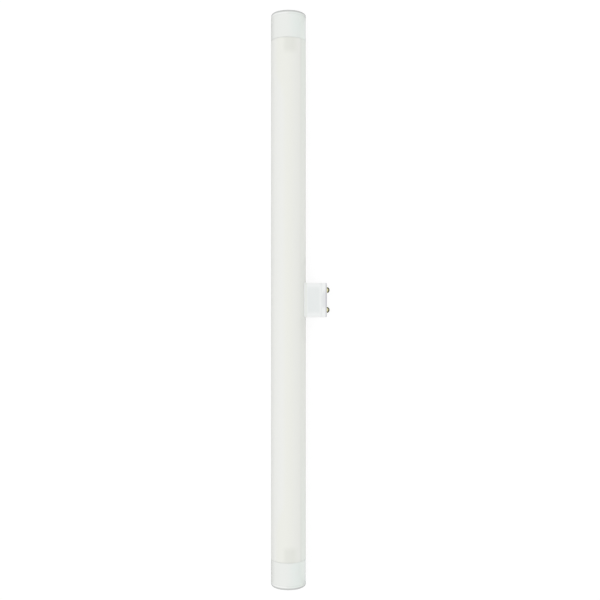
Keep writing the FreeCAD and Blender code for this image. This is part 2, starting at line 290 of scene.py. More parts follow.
def closed_loop(form, corners):
    """Joins corners into a closed loop, and gives its edges."""
    return [form.edges.new((corners[i], corners[i - 1])) for i in range(len(corners))]


def place_piece(piece, finish, slot, smooth_angle, *nodes):
    """Places a piece in the row frame, with its finish, its body and the nodes it stands for."""
    piece.data.transform(lamp_to_row)
    piece.data.materials.clear()
    piece.data.materials.append(finish.material)
    piece.data.shade_smooth()
    piece.data.set_sharp_from_angle(angle=math.radians(smooth_angle))
    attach(piece, "root")
    if nodes:
        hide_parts(*nodes)


def feed(value, socket):
    """Links a measure to a socket, or writes a plain value on it."""
    if isinstance(value, Measure):
        value.tree.links.new(value.output, socket)
    else:
        socket.default_value = (*value, 1) if socket.type == "RGBA" else value


def reckon(operation, first, second=0.0):
    """A math node on two measures or numbers."""
    tree = first.tree if isinstance(first, Measure) else second.tree
    made = node(tree, "ShaderNodeMath", operation=operation)
    feed(first, made.inputs[0])
    feed(second, made.inputs[1])
    return Measure(made.outputs[0])


class Measure:
    """A number or colour that changes over a surface, such as a place."""

    def __init__(self, output):
        self.output = output
        self.tree = output.id_data

    def __add__(self, other):
        return reckon("ADD", self, other)

    def __sub__(self, other):
        return reckon("SUBTRACT", self, other)

    def __rsub__(self, other):
        return reckon("SUBTRACT", other, self)

    def __mul__(self, other):
        return reckon("MULTIPLY", self, other)

    def __abs__(self):
        return reckon("ABSOLUTE", self)


def distance(first, second):
    """How far a point is from an axis, from its two places across it."""
    return reckon("SQRT", first * first + second * second)


def larger(first, second):
    """The larger of two measures."""
    return reckon("MAXIMUM", first, second)


def fade(value, start, end, start_value=0.0, end_value=1.0):
    """A smooth step of a measure from one value to another."""
    made = node(value.tree, "ShaderNodeMapRange", interpolation_type="SMOOTHSTEP")
    for label, given in (("Value", value), ("From Min", start), ("From Max", end),
                         ("To Min", start_value), ("To Max", end_value)):
        feed(given, made.inputs[label])
    return Measure(made.outputs["Result"])


def layered(colour, *tints):
    """A colour with tints laid over it, each with its amount."""
    for tint, amount in tints:
        mixed = node(amount.tree, "ShaderNodeMix", data_type="RGBA")
        feed(amount, mixed.inputs["Factor"])
        feed(colour, mixed.inputs["A"])
        feed(tint, mixed.inputs["B"])
        colour = Measure(mixed.outputs["Result"])
    return colour


class Finish:
    """A material that knows each place in the lamp's own frame, in metres."""

    def __init__(self, name):
        self.material = bpy.data.materials.new(name)
        self.material.use_nodes = True
        self.tree = self.material.node_tree
        self.shader = self.tree.nodes["Principled BSDF"]
        coordinate = node(self.tree, "ShaderNodeTexCoord")
        self.place = node(self.tree, "ShaderNodeMapping", vector_type="TEXTURE")
        self.place.inputs["Location"].default_value = tube_axis
        self.place.inputs["Rotation"].default_value = (0, lean, 0)
        parts = node(self.tree, "ShaderNodeSeparateXYZ")
        link(self.tree, (coordinate, "Object", self.place, "Vector"), (self.place, "Vector", parts, 0))
        self.x, self.y, self.z = [Measure(output) for output in parts.outputs]

    def grain(self, per_millimetre, detail, stretch=(1, 1, 1)):
        """Noise of some fineness and detail, stretched along any axis."""
        stretched = node(self.tree, "ShaderNodeMapping")
        stretched.inputs["Scale"].default_value = stretch
        noise = node(self.tree, "ShaderNodeTexNoise")
        noise.inputs["Scale"].default_value = per_millimetre * 1000
        noise.inputs["Detail"].default_value = detail
        link(self.tree, (self.place, "Vector", stretched, "Vector"), (stretched, "Vector", noise, "Vector"))
        return Measure(noise.outputs["Fac"])

    def lay(self, colour, rough, relief, depth, metal=0.0, gloss=0.5):
        """Feeds the shader, with a relief whose depth is in metres."""
        bump = node(self.tree, "ShaderNodeBump")
        feed(depth, bump.inputs["Distance"])
        feed(relief, bump.inputs["Height"])
        for label, given in (("Base Color", colour), ("Roughness", rough), ("Metallic", metal),
                             ("Specular IOR Level", gloss), ("Normal", Measure(bump.outputs["Normal"]))):
            feed(given, self.shader.inputs[label])


def roughness(pattern, low, high):
    """Roughness from low to high, over a pattern of grain."""
    return fade(pattern, 0.3, 0.7, low, high)


def mottled(pattern, tones):
    """A light and a dark tone of a colour, over a pattern of grain."""
    return layered(tones[0], (tones[1], fade(pattern, 0.35, 0.7)))


def seam_tone(finish, from_seam):
    """The fine dark line beside a cap's joint, a little fainter on the foot's side."""
    return fade(from_seam, 0.0012, 0.0001) * fade(finish.x, 0.002, 0.009, 0.22, 0.1)


tube_wall = 0.0013
strip_depth = 0.00355
tray_thickness = 0.001
slide_gap = 0.0001
rail_reach = 0.0009
rail_height = 0.001
window_half = 0.0101
window_side = 0.0046
ring_steps = 192
rail_side_steps = 24
bore_radius = tube_radius - tube_wall
strip_offset = bore_radius - strip_depth
tray_half_width = math.sqrt((bore_radius - slide_gap) ** 2 - (strip_offset + tray_thickness) ** 2)
rail_inner = tray_half_width - rail_reach
rail_top = strip_offset - slide_gap
rail_low = rail_top - rail_height
top_angle = math.acos(rail_top / bore_radius)
low_angle = math.acos(rail_low / bore_radius)
bore_outline = [
    *arc(bore_radius, -top_angle, top_angle, rail_side_steps),
    (rail_top, rail_inner),
    (rail_low, rail_inner),
    *arc(bore_radius, low_angle, math.tau - low_angle, ring_steps - rail_side_steps),
    (rail_low, -rail_inner),
    (rail_top, -rail_inner),
]
tube_form = bmesh.new()
for outline in (ring(tube_radius, ring_steps), bore_outline):
    closed_loop(tube_form, [tube_form.verts.new((x, -tube_half, z)) for x, z in outline])
bmesh.ops.triangle_fill(tube_form, edges=tube_form.edges, use_beauty=True)
drawn_out = bmesh.ops.extrude_face_region(tube_form, geom=tube_form.faces[:])
moved = [part for part in drawn_out["geom"] if isinstance(part, bmesh.types.BMVert)]
bmesh.ops.translate(tube_form, vec=(0, 2 * tube_half, 0), verts=moved)
diffuser = from_form("diffuser", tube_form)
window = box_piece("window", (rail_top, -window_half, -window_side),
                   (tube_radius * 2, window_half, window_side))
combine(diffuser, window, "DIFFERENCE")

opal_white = (0.842, 0.85, 0.822)
opal_warm = (0.838, 0.845, 0.795)
opal_shade = (0.72, 0.75, 0.7)
opal_green_shade = (0.793, 0.853, 0.796)
opal_end_shade = (0.775, 0.785, 0.735)
seam_shade = (0.6, 0.615, 0.59)
tongue_reach = tube_half - cap_low.y
foot_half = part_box("foot_housing")[1].y
strip_line = strip_offset + tray_thickness / 2
opal = Finish("opal_polycarbonate")
from_end = tube_half - abs(opal.y)
near_end = fade(from_end, 0.13, 0.005)
# Painted shade: a faint line where the strip's edge lies behind the wall, stronger near the ends.
strip_shade_amount = fade(abs(opal.x - strip_line), 0.0014, 0.0001) * (near_end * 0.22 + 0.14)
# Painted shade, a little green, on the wall beyond the strip, where the tray lies behind it.
tray_shade_amount = fade(opal.x, strip_line - 0.001, strip_line + 0.0015) * (near_end * 0.4 + 0.15)
warm_start = fade(from_end, 0.055, 0.025) * 0.007
warm_amount = fade(opal.x + warm_start, -0.006, -0.001) * fade(opal.x, 0.002, 0.006, 1, 0.5)
# Painted shadow of each cap's tongue, on the wall just inside the cap.
tongue_shadow_along = fade(from_end, tongue_reach + 0.0045, tongue_reach - 0.002)
tongue_shadow_amount = tongue_shadow_along * fade(opal.x, -0.006, -0.001) * fade(opal.x, 0.01, 0.003)
# Painted shade in the crease where the foot sits on the tube.
crease_shade_along = fade(abs(opal.y), foot_half + 0.0008, foot_half - 0.0005)
foot_amount = crease_shade_along * fade(opal.x, 0.011, 0.0128) * 0.08
colour = layered(
    opal_white, (opal_warm, warm_amount), (opal_green_shade, tray_shade_amount), (opal_shade, strip_shade_amount),
    (opal_end_shade, tongue_shadow_amount), (seam_shade, seam_tone(opal, from_end)), (opal_shade, foot_amount))
surface = opal.grain(1.6, 3, (1, 0.01, 1)) + opal.grain(6, 2) * 0.5
opal.lay(colour, fade(surface, 0.4, 1.1, 0.42, 0.54), surface, 0.00001, gloss=0.25)
place_piece(diffuser, opal, "opal_diffuser", 30, "diffuser_tube")


# The heat-sink tray
# A flat strip of extruded aluminium that slides in behind the tube's rails and takes up the heat
# of the light board. It keeps its mill finish, with fine drawing lines along its length.
def lamp_box(node_name):
    """A CAD node's lowest and highest corners in the lamp's own frame."""
    row_to_lamp = lamp_to_row.inverted()
    corners = [row_to_lamp @ vertex.co for vertex in frame["nodes"][node_name].data.vertices]
    return [Vector([pick(places) for places in zip(*corners)]) for pick in (min, max)]


def dress(finish, *node_names):
    """Gives CAD nodes that keep their shape their finish."""
    for node_name in node_names:
        for place in frame["nodes"][node_name].material_slots:
            place.material = finish.material


mill_tones = ((0.8, 0.81, 0.82), (0.66, 0.67, 0.69))
mill_finish = Finish("mill_aluminium")
drawing_lines = mill_finish.grain(1.0, 5, (5, 0.02, 5))
colour = mottled(mill_finish.grain(0.3, 2, (1, 0.2, 1)), mill_tones)
mill_finish.lay(colour, roughness(drawing_lines, 0.28, 0.45), drawing_lines, 0.00001, metal=1)
dress(mill_finish, "heat_sink_tray")


# The light board
# A narrow laminate board under the tray with a glossy white solder mask. Tinned lands show at both
# ends of each light-emitting package, and raised copper tracks join the packages.
chips_low, chips_high = lamp_box("led_chips")
chip_count = 48
chip_length = 0.0035
first_chip = chips_low.y + chip_length / 2
chip_pitch = (chips_high.y - chips_low.y - chip_length) / (chip_count - 1)
land_overlap = 0.0003
land_half_width = 0.0011
track_half_width = 0.0006
mask_white = (0.88, 0.89, 0.87)
mask_shade = (0.8, 0.82, 0.8)
tinned = (0.78, 0.78, 0.76)


def from_chip(finish):
    """How far along the tube the nearest package's middle is."""
    return reckon("PINGPONG", finish.y - first_chip, chip_pitch / 2)


white_mask = Finish("white_solder_mask")
beside_chip = from_chip(white_mask) - chip_length / 2
across = abs(white_mask.z)
land_across = fade(across, land_half_width + 0.00005, land_half_width)
land_amount = fade(beside_chip, land_overlap + 0.0001, land_overlap) * land_across
track_amount = fade(across, track_half_width + 0.0001, track_half_width)
orange_peel = white_mask.grain(2.2, 3)
colour = layered(mask_white, (mask_shade, fade(orange_peel, 0.3, 0.7)), (mask_shade, track_amount * 0.5),
                 (tinned, land_amount))
white_mask.lay(colour, roughness(orange_peel, 0.22, 0.34), track_amount + orange_peel * 0.3, 0.00003,
               metal=land_amount)
dress(white_mask, "led_board")


# The light-emitting packages
# A row of small white packages soldered along the board. Each is a moulded block with a shallow
# round dish of yellow phosphor, a cut corner that marks its minus side, and tinned ends.
def new_steps(name, **inputs):
    """A geometry tree with named inputs, its way in and its way out."""
    tree = bpy.data.node_groups.new(name, "GeometryNodeTree")
    tree.interface.new_socket("Geometry", in_out="INPUT", socket_type="NodeSocketGeometry")
    for label, kind in inputs.items():
        tree.interface.new_socket(label, in_out="INPUT", socket_type="NodeSocket" + kind)
    tree.interface.new_socket("Geometry", in_out="OUTPUT", socket_type="NodeSocketGeometry")
    return tree, node(tree, "NodeGroupInput"), node(tree, "NodeGroupOutput")


def finish_steps(tree, shape, given, way_out, finish):
    """Ends a geometry tree: instances made real, then the material set."""
    real = node(tree, "GeometryNodeRealizeInstances")
    painted = node(tree, "GeometryNodeSetMaterial")
    painted.inputs["Material"].default_value = finish.material
    link(tree,
         (shape, given, real, "Geometry"),
         (real, "Geometry", painted, "Geometry"),
         (painted, "Geometry", way_out, "Geometry"))


def run_steps(maker, tree, **values):
    """Runs a geometry tree on an object, and keeps the mesh that it makes."""
    step = maker.modifiers.new(tree.name, "NODES")
    step.node_group = tree
    for item in tree.interface.items_tree:
        if item.name in values:
            step[item.identifier] = values[item.name]
    return plain_mesh(maker)


chip_corner = 0.0004
dish_radius = 0.00115
dish_depth = 0.00018
dish_steps = 16
half_length = chip_length / 2
half_width = (chips_high.z - chips_low.z) / 2
chip_outline = [(-half_length, -half_width), (half_length, -half_width),
                (half_length, half_width - chip_corner), (half_length - chip_corner, half_width),
                (-half_length, half_width)]
chip_form = bmesh.new()
back, front, brim, bottom = [
    [chip_form.verts.new((x, first_chip + y, z)) for y, z in outline]
    for x, outline in ((chips_high.x, chip_outline), (chips_low.x, chip_outline),
                       (chips_low.x, ring(dish_radius, dish_steps)),
                       (chips_low.x + dish_depth, ring(dish_radius, dish_steps)))]
bmesh.ops.triangle_fill(chip_form, edges=closed_loop(chip_form, front) + closed_loop(chip_form, brim),
                        use_beauty=True)
chip_form.faces.new(back)
chip_form.faces.new(bottom)
for inner, outer in ((back, front), (brim, bottom)):
    for i in range(len(inner)):
        chip_form.faces.new((inner[i - 1], inner[i], outer[i], outer[i - 1]))

chip_white = (0.9, 0.9, 0.86)
chip_cream = (0.84, 0.83, 0.76)
phosphor_tones = ((0.86, 0.68, 0.13), (0.8, 0.58, 0.08))
chip_body = Finish("chip_moulding")
from_centre = distance(from_chip(chip_body), chip_body.z)
in_dish = (fade(from_centre, dish_radius + 0.00002, dish_radius - 0.00002)
           * fade(chip_body.x, chips_low.x + 0.00002, chips_low.x + 0.0001))
at_end = (fade(from_chip(chip_body), half_length - 0.0001, half_length - 0.00005)
          * fade(chip_body.x, chips_high.x - 0.0003, chips_high.x - 0.00025))
speck = chip_body.grain(9, 4)
colour = layered(chip_white, (chip_cream, fade(speck, 0.35, 0.75)),
                 (mottled(speck, phosphor_tones), in_dish), (tinned, at_end))
chip_body.lay(colour, fade(in_dish, 0, 1, 0.42, 0.2), speck, 0.00001, metal=at_end)
row_tree, way_in, way_out = new_steps("chip_row", Count="Int", Pitch="Vector")
row_line = node(row_tree, "GeometryNodeMeshLine")
row_chips = node(row_tree, "GeometryNodeInstanceOnPoints")
link(row_tree,
     (way_in, "Count", row_line, "Count"),
     (way_in, "Pitch", row_line, "Offset"),
     (row_line, "Mesh", row_chips, "Points"),
     (way_in, "Geometry", row_chips, "Instance"))
finish_steps(row_tree, row_chips, "Instances", way_out, chip_body)
chip_row = run_steps(from_form("chip_row", chip_form), row_tree, Count=chip_count,
                     Pitch=(0, chip_pitch, 0))
place_piece(chip_row, chip_body, "chip_body", 30, "led_chips")


# The end caps
# Two caps moulded in white polycarbonate, each pushed into the tube by its spigot until its collar
# is flush with the tube. A long tongue from the end wall holds the strip's end.
cap_wall = 0.0016
cap_end_thickness = 0.0022
cap_edge_radius = 0.002
cap_edge_steps = 12
cap_line_inset = 0.0035
line_half_width = 0.0002
line_depth = 0.00012
shoulder_chamfer = 0.00035
spigot_wall = 0.0014
spigot_length = 0.009
spigot_root = 0.003
spigot_chamfer = (0.0002, 0.0004)
tongue_thickness = 0.0015
tongue_side = 0.004
tongue_rib_depth = 0.0105
tongue_rib_half = 0.0007
board_thickness = 0.001
gate_radius = 0.0016
gate_depth = 0.0002
smallest_joint = 1e-6
spigot_radius = bore_radius - slide_gap
spigot_inside = spigot_radius - spigot_wall
spigot_tip = tube_half - spigot_length
cap_inside = tube_radius - cap_wall
cap_inner_end = lamp_half - cap_end_thickness
cap_line = lamp_half - cap_line_inset
cap_outline = [
    (spigot_inside, spigot_tip),
    (spigot_radius - spigot_chamfer[0], spigot_tip),
    (spigot_radius, spigot_tip + spigot_chamfer[1]),
    (spigot_radius, tube_half),
    (tube_radius - shoulder_chamfer, tube_half),
    (tube_radius, tube_half + shoulder_chamfer),
    (tube_radius, cap_line - line_half_width),
    (tube_radius - line_depth, cap_line - line_half_width / 2),
    (tube_radius - line_depth, cap_line + line_half_width / 2),
    (tube_radius, cap_line + line_half_width),
    *[(tube_radius - cap_edge_radius + across, lamp_half - cap_edge_radius + along)
      for across, along in arc(cap_edge_radius, 0, math.pi / 2, cap_edge_steps)],
    (gate_radius + gate_depth, lamp_half),
    (gate_radius, lamp_half - gate_depth),
    (0, lamp_half - gate_depth),
    (0, cap_inner_end),
    (cap_inside, cap_inner_end),
    (cap_inside, tube_half + spigot_root),
    (spigot_inside, tube_half + spigot_root),
]


def lathe(name, outline, steps):
    """Turns an outline of (radius, place along Y) points about Y."""
    form = bmesh.new()
    corners = [form.verts.new((radius, along, 0)) for radius, along in outline]
    bmesh.ops.spin(form, geom=corners + closed_loop(form, corners), cent=(0, 0, 0), axis=(0, 1, 0),
                   angle=math.tau, steps=steps)
    bmesh.ops.remove_doubles(form, verts=form.verts, dist=smallest_joint)
    bmesh.ops.dissolve_degenerate(form, edges=form.edges, dist=smallest_joint)
    return from_form(name, form)


def cap_piece(name):
    """One cap, made for the tube's +Y end."""
    cap = lathe(name, cap_outline, ring_steps)
    strip_room = box_piece("strip_room", (rail_low - slide_gap, spigot_tip - slide_gap, -tube_radius),
                           (tube_radius, tube_half, tube_radius))
    combine(cap, strip_room, "DIFFERENCE")
    tongue_top = strip_offset - board_thickness - slide_gap
    tongue_low = tongue_top - tongue_thickness
    tongue_tip = tube_half - tongue_reach
    root = lamp_half - cap_end_thickness / 2
    tongue = box_piece("tongue", (tongue_low, tongue_tip, -tongue_side), (tongue_top, root, tongue_side))
    rib = box_piece("rib", (tongue_top - tongue_rib_depth, tongue_tip, -tongue_rib_half),
                    (tongue_top - tongue_thickness / 2, root, tongue_rib_half))
    combine(tongue, rib, "UNION")
    return combine(cap, tongue, "UNION")


cap_white = (0.825, 0.841, 0.816)
cap_cool = (0.8, 0.85, 0.82)
cap_painted_side_light = (0.85, 0.9, 0.85)
cap_painted_highlight = (0.9, 0.91, 0.9)
cap_edge_shade = (0.575, 0.585, 0.575)
cap_plastic = Finish("cap_polycarbonate")
out = cap_plastic.x
cool_amount = fade(out, -0.002, 0.006) * fade(cap_plastic.grain(0.12, 2), 0.2, 0.7, 0.5, 1)
# Painted light on the cap's side towards the foot.
side_light_amount = fade(out, 0.009, 0.0115) * fade(out, 0.0146, 0.013, 0, 0.6)
from_tip = lamp_half - abs(cap_plastic.y)
from_axis = distance(out, cap_plastic.z)
groove_amount = fade(abs(from_tip - cap_line_inset), 0.0005, 0.00015) * 0.15
seam_amount = seam_tone(cap_plastic, abs(cap_plastic.y) - tube_half)
# Painted highlight: a light band just inside each end's rounding, on the side away from the foot.
highlight_amount = fade(abs(from_tip - 0.003), 0.0007, 0.0002) * fade(out, 0.001, -0.003)
# Painted shade: a dark ring on the rounding of each end.
edge_shade_amount = fade(from_tip, 0.0023, 0.0017) * fade(from_axis, tube_radius - 0.0011, tube_radius - 0.0006)
colour = layered(
    cap_white, (cap_cool, cool_amount), (cap_painted_side_light, side_light_amount),
    (seam_shade, larger(groove_amount, seam_amount)), (cap_painted_highlight, highlight_amount),
    (cap_edge_shade, edge_shade_amount))
satin = cap_plastic.grain(5, 3)
cap_plastic.lay(colour, roughness(satin, 0.24, 0.36), satin, 0.000008, gloss=0.25)
upper_cap = cap_piece("cap_upper")
lower_cap = cap_piece("cap_lower")
lower_cap.data.transform(Matrix.Diagonal((1, -1, 1, 1)))
lower_cap.data.flip_normals()
place_piece(upper_cap, cap_plastic, "cap_plastic", 30, "end_cap_upper")
place_piece(lower_cap, cap_plastic, "cap_plastic", 30, "end_cap_lower")


# The foot's housing
# A block moulded in white plastic, with a saddle that sits on the tube and rounded long edges. Its
# sides carry a very shallow panel, and a neck with two hooks snaps through the tube's window.
foot_side = 0.007
foot_wall = 0.0015
foot_floor = 0.0016
foot_edge_radius = 0.0013
foot_edge_steps = 8
cover_height = 0.0048
cover_seam = 0.00005
seam_chamfer = 0.00005
panel_margin = 0.0036
panel_depth = 0.00025
panel_corner = 0.0008
neck_wall = 0.0014
hook_reach = 0.001
hook_side = 0.0025
hook_thickness = 0.0009
board_rib = 0.0008
rib_below_cover = 0.0019
board_lift = 0.0021
saddle_steps = 256
cover_seat = foot_reach - cover_height
housing_end = cover_seat - cover_seam
saddle_radius = tube_radius + slide_gap
floor_radius = saddle_radius + foot_floor
cavity_half = foot_half - foot_wall
cavity_side = foot_side - foot_wall
neck_half = window_half - slide_gap
neck_side = window_side - slide_gap
neck_end = strip_offset + tray_thickness + hook_thickness
hook_top = math.sqrt(bore_radius ** 2 - hook_side ** 2) - slide_gap
driver_low = board_lift - cavity_side
driver_high = driver_low + board_thickness


def edges_along(form, way):
    """A form's straight edges along one axis."""
    return [edge for edge in form.edges
            if abs((edge.verts[1].co - edge.verts[0].co).normalized()[way]) > 0.99]


def edges_across(form, x):
    """A form's edges in one plane across X."""
    return [edge for edge in form.edges
            if all(abs(corner.co.x - x) < slide_gap / 4 for corner in edge.verts)]


def round_edges(form, edges, radius, steps):
    """Rounds some of a form's edges, or chamfers them."""
    bmesh.ops.bevel(form, geom=edges, offset=radius, segments=steps, profile=0.5, affect="EDGES")


def foot_form(start, end, end_edges):
    """A length of the foot's outer form, with its long edges, and an end's, rounded."""
    form = box_form((start, -foot_half, -foot_side), (end, foot_half, foot_side))
    edges = edges_along(form, 0)
    if end_edges:
        edges += edges_across(form, end)
    round_edges(form, edges, foot_edge_radius, foot_edge_steps)
    return form


def long_bar(radius):
    """A round bar along the tube's axis, longer than the foot."""
    half = foot_half * 2
    return lathe("bar", [(0, -half), (radius, -half), (radius, half), (0, half)], saddle_steps)


def side_pair(first, second):
    """A stretch of one axis on each side of the middle."""
    return (-second, -first), (first, second)


housing_form = foot_form(0, housing_end, False)
round_edges(housing_form, edges_across(housing_form, housing_end), seam_chamfer, 2)
housing = from_form("housing", housing_form)
combine(housing, long_bar(saddle_radius), "DIFFERENCE")
cavity = box_piece("cavity", (0, -cavity_half, -cavity_side), (foot_reach, cavity_half, cavity_side))
combine(cavity, long_bar(floor_radius), "DIFFERENCE")
combine(housing, cavity, "DIFFERENCE")
for near, far in side_pair(foot_side - panel_depth, foot_side * 2):
    panel_form = box_form((saddle_radius + panel_margin / 2, panel_margin - foot_half, near),
                          (cover_seat - panel_margin / 2, foot_half - panel_margin, far))
    round_edges(panel_form, edges_along(panel_form, 2), panel_corner, 4)
    combine(housing, from_form("panel", panel_form), "DIFFERENCE")
neck = box_piece("neck", (neck_end, -neck_half, -neck_side), (floor_radius, neck_half, neck_side))
combine(housing, neck, "UNION")
for near, far in side_pair(neck_half - neck_wall / 2, neck_half + hook_reach):
    hook = box_piece("hook", (neck_end, near, -hook_side), (hook_top, far, hook_side))
    combine(housing, hook, "UNION")
passage_half = neck_half - neck_wall
passage_side = neck_side - neck_wall
passage = box_piece("passage", (neck_end - slide_gap, -passage_half, -passage_side),
                    (floor_radius + slide_gap, passage_half, passage_side))
combine(housing, passage, "DIFFERENCE")
for near, far in side_pair(cavity_half - board_rib, cavity_half + foot_wall / 2):
    for low, high in ((foot_wall / 2 - foot_side, driver_low - slide_gap),
                      (driver_high + slide_gap, driver_high + slide_gap + board_rib)):
        rib = box_piece("rib", (floor_radius - slide_gap, near, low),
                        (cover_seat - rib_below_cover, far, high))
        combine(housing, rib, "UNION")

foot_white = (0.865, 0.885, 0.88)
foot_cool = (0.785, 0.815, 0.81)
foot_shade = (0.66, 0.67, 0.69)
foot_edge_shade = (0.58, 0.58, 0.62)
foot_contact_shade = (0.75, 0.78, 0.72)
foot_painted_light = (0.93, 0.94, 0.935)
foot_plastic = Finish("foot_moulding")
out = foot_plastic.x
from_middle = abs(foot_plastic.y)
rounding_start = foot_reach - foot_edge_radius
panel_amount = fade(from_middle, 0.0125, 0.009) * fade(out, 0.016, 0.018) * fade(out, 0.028, 0.026) * 0.8
# Painted light along the foot's rounded long edges.
painted_rim_amount = fade(from_middle, foot_half - foot_edge_radius, foot_half - 0.0005)
# Painted shade, a little warm, along the foot's base where it meets the tube.
contact_shade_amount = fade(out, 0.0168, 0.0156) * fade(out, 0.0141, 0.0147) * 0.42
# Painted shade on the cover's end between the studs.
field_out = fade(out, cover_seat - 0.0002, cover_seat + 0.0016) * fade(out, foot_reach, foot_reach - 0.0008)
field_shade_amount = fade(from_middle, 0.009, 0.0045) * field_out * 0.5
# Painted shade on the cover's rounded outer edge, darkest towards the middle.
edge_start = fade(out, rounding_start - 0.0002, rounding_start + 0.0004)
edge_end = fade(out, foot_reach - 0.00005, foot_reach - 0.0003)
edge_shade_amount = edge_start * edge_end * fade(from_middle, 0.013, 0.007, 0.72, 1)
colour = layered(
    foot_white, (foot_cool, panel_amount), (foot_painted_light, painted_rim_amount), (foot_contact_shade, contact_shade_amount),
    (foot_shade, field_shade_amount), (foot_edge_shade, edge_shade_amount))
spark = foot_plastic.grain(9, 4)
foot_plastic.lay(colour, roughness(spark, 0.3, 0.42), spark, 0.00002)
place_piece(housing, foot_plastic, "foot_plastic", 35, "foot_housing")


# The driver board
# A small green glass-fibre board held by its ends in the housing's slots. Its solder mask leaves
# tinned rings bare where each wire goes through, and its sawn edges show the pale laminate.
lead_radius = 0.0005
pad_radius = 0.0008
pin_reaches = {"fuse_resistor": 0.0031, "smoothing_capacitor": 0.00125, "choke_core": 0.00125,
               "film_capacitor": 0.00125}
board_low, board_high = lamp_box("driver_board")
input_low, input_high = lamp_box("input_lead_upper")
output_low, output_high = lamp_box("output_lead_plus")
parts_middle = (board_low.x + board_high.x) / 2
pad_places = []
for side in (-1, 1):
    pad_places += [(input_low.x + lead_radius, side * (input_low.y + input_high.y) / 2),
                   (output_high.x - lead_radius, side * (output_low.y + output_high.y) / 2)]
    for part, reach in pin_reaches.items():
        part_low, part_high = lamp_box(part)
        pad_places.append((parts_middle + side * reach, (part_low.y + part_high.y) / 2))

mask_green = (0.035, 0.2, 0.085)
mask_deep = (0.02, 0.13, 0.055)
mask_over_track = (0.06, 0.27, 0.12)
sawn_pale = (0.5, 0.5, 0.28)
threads_per_metre = 9000
laminate = Finish("green_laminate")
pad_amount = 0.0
for pad_x, pad_y in pad_places:
    from_pad = distance(laminate.x - pad_x, laminate.y - pad_y)
    pad_amount = larger(pad_amount, fade(from_pad, pad_radius + 0.00005, pad_radius))
warp = reckon("SINE", laminate.x * threads_per_metre)
weft = reckon("SINE", laminate.y * threads_per_metre)
weave = warp * weft
tracks = fade(reckon("PINGPONG", laminate.x, 0.0009), 0.00042, 0.0005)
from_board_middle = abs(laminate.z - (board_low.z + board_high.z) / 2)
colour = layered(
    mask_green, (mask_deep, fade(weave, -1, 1)), (mask_over_track, tracks * 0.5),
    (sawn_pale, fade(from_board_middle, 0.00047, 0.00045)), (tinned, pad_amount))
relief = tracks * (1 - pad_amount) + weave * 0.3
laminate.lay(colour, fade(weave, -1, 1, 0.26, 0.36), relief, 0.00003, metal=pad_amount)
dress(laminate, "driver_board")


# The smoothing capacitor
# A small electrolytic can in a shrunk-on sleeve, standing beside the choke. A pale stripe with
# dashes marks its minus side, the bare top is scored with a cross, and rubber seals its foot.
can_low, can_high = lamp_box("smoothing_capacitor")
can_radius = (can_high.y - can_low.y) / 2
sleeve_blue = (0.02, 0.03, 0.075)
sleeve_black = (0.012, 0.014, 0.03)
stripe_grey = (0.42, 0.45, 0.5)
can_bare = (0.82, 0.83, 0.84)
score_dark = (0.3, 0.31, 0.32)
rubber_black = (0.02, 0.02, 0.02)
can_sleeve = Finish("can_sleeve")
up = can_sleeve.z
can_across = abs(can_sleeve.x - (can_low.x + can_high.x) / 2)
can_along = can_sleeve.y - (can_low.y + can_high.y) / 2
from_axis = distance(can_across, can_along)
inside_curl = fade(from_axis, can_radius - 0.0004, can_radius - 0.0005)
top_amount = inside_curl * fade(up, can_high.z - 0.0002, can_high.z - 0.0001)
foot_amount = inside_curl * fade(up, can_low.z + 0.0003, can_low.z + 0.0002)
stripe_along = fade(can_along, can_radius * 0.8, can_radius * 0.84)
stripe_amount = stripe_along * fade(up, can_high.z - 0.0003, can_high.z - 0.0004)
dashes = fade(reckon("PINGPONG", up, 0.0008), 0.0005, 0.00055)
dash_amount = stripe_amount * fade(can_across, 0.00075, 0.0007) * dashes
cross = fade(reckon("MINIMUM", can_across, abs(can_along)), 0.00014, 0.00008)
score_amount = cross * top_amount * fade(from_axis, can_radius * 0.7, can_radius * 0.66)
crinkle = can_sleeve.grain(1.4, 3, (1, 1, 3))
colour = layered(
    sleeve_blue, (sleeve_black, fade(crinkle, 0.3, 0.7)), (stripe_grey, stripe_amount),
    (sleeve_black, dash_amount), (rubber_black, foot_amount), (can_bare, top_amount),
    (score_dark, score_amount))
can_sleeve.lay(colour, roughness(crinkle, 0.18, 0.3), crinkle * 0.3 - score_amount, 0.00006,
               metal=top_amount)
dress(can_sleeve, "smoothing_capacitor")


# The choke
# A drum of grey-black ferrite, pressed and sintered, wound with enamelled copper wire between its
# flanges. The turns lie side by side, and only the outer layer shows.
ferrite_tones = ((0.045, 0.045, 0.05), (0.09, 0.09, 0.095))
ferrite = Finish("sintered_ferrite")
sinter = ferrite.grain(7, 5)
ferrite.lay(mottled(sinter, ferrite_tones), roughness(sinter, 0.5, 0.7), sinter, 0.00003)
dress(ferrite, "choke_core")

copper_tones = ((0.76, 0.37, 0.17), (0.55, 0.22, 0.08))
copper = Finish("enamelled_copper")
wear = copper.grain(1.5, 3, (1, 1, 4))
copper.lay(mottled(wear, copper_tones), roughness(wear, 0.16, 0.3), wear, 0.000005, metal=1)

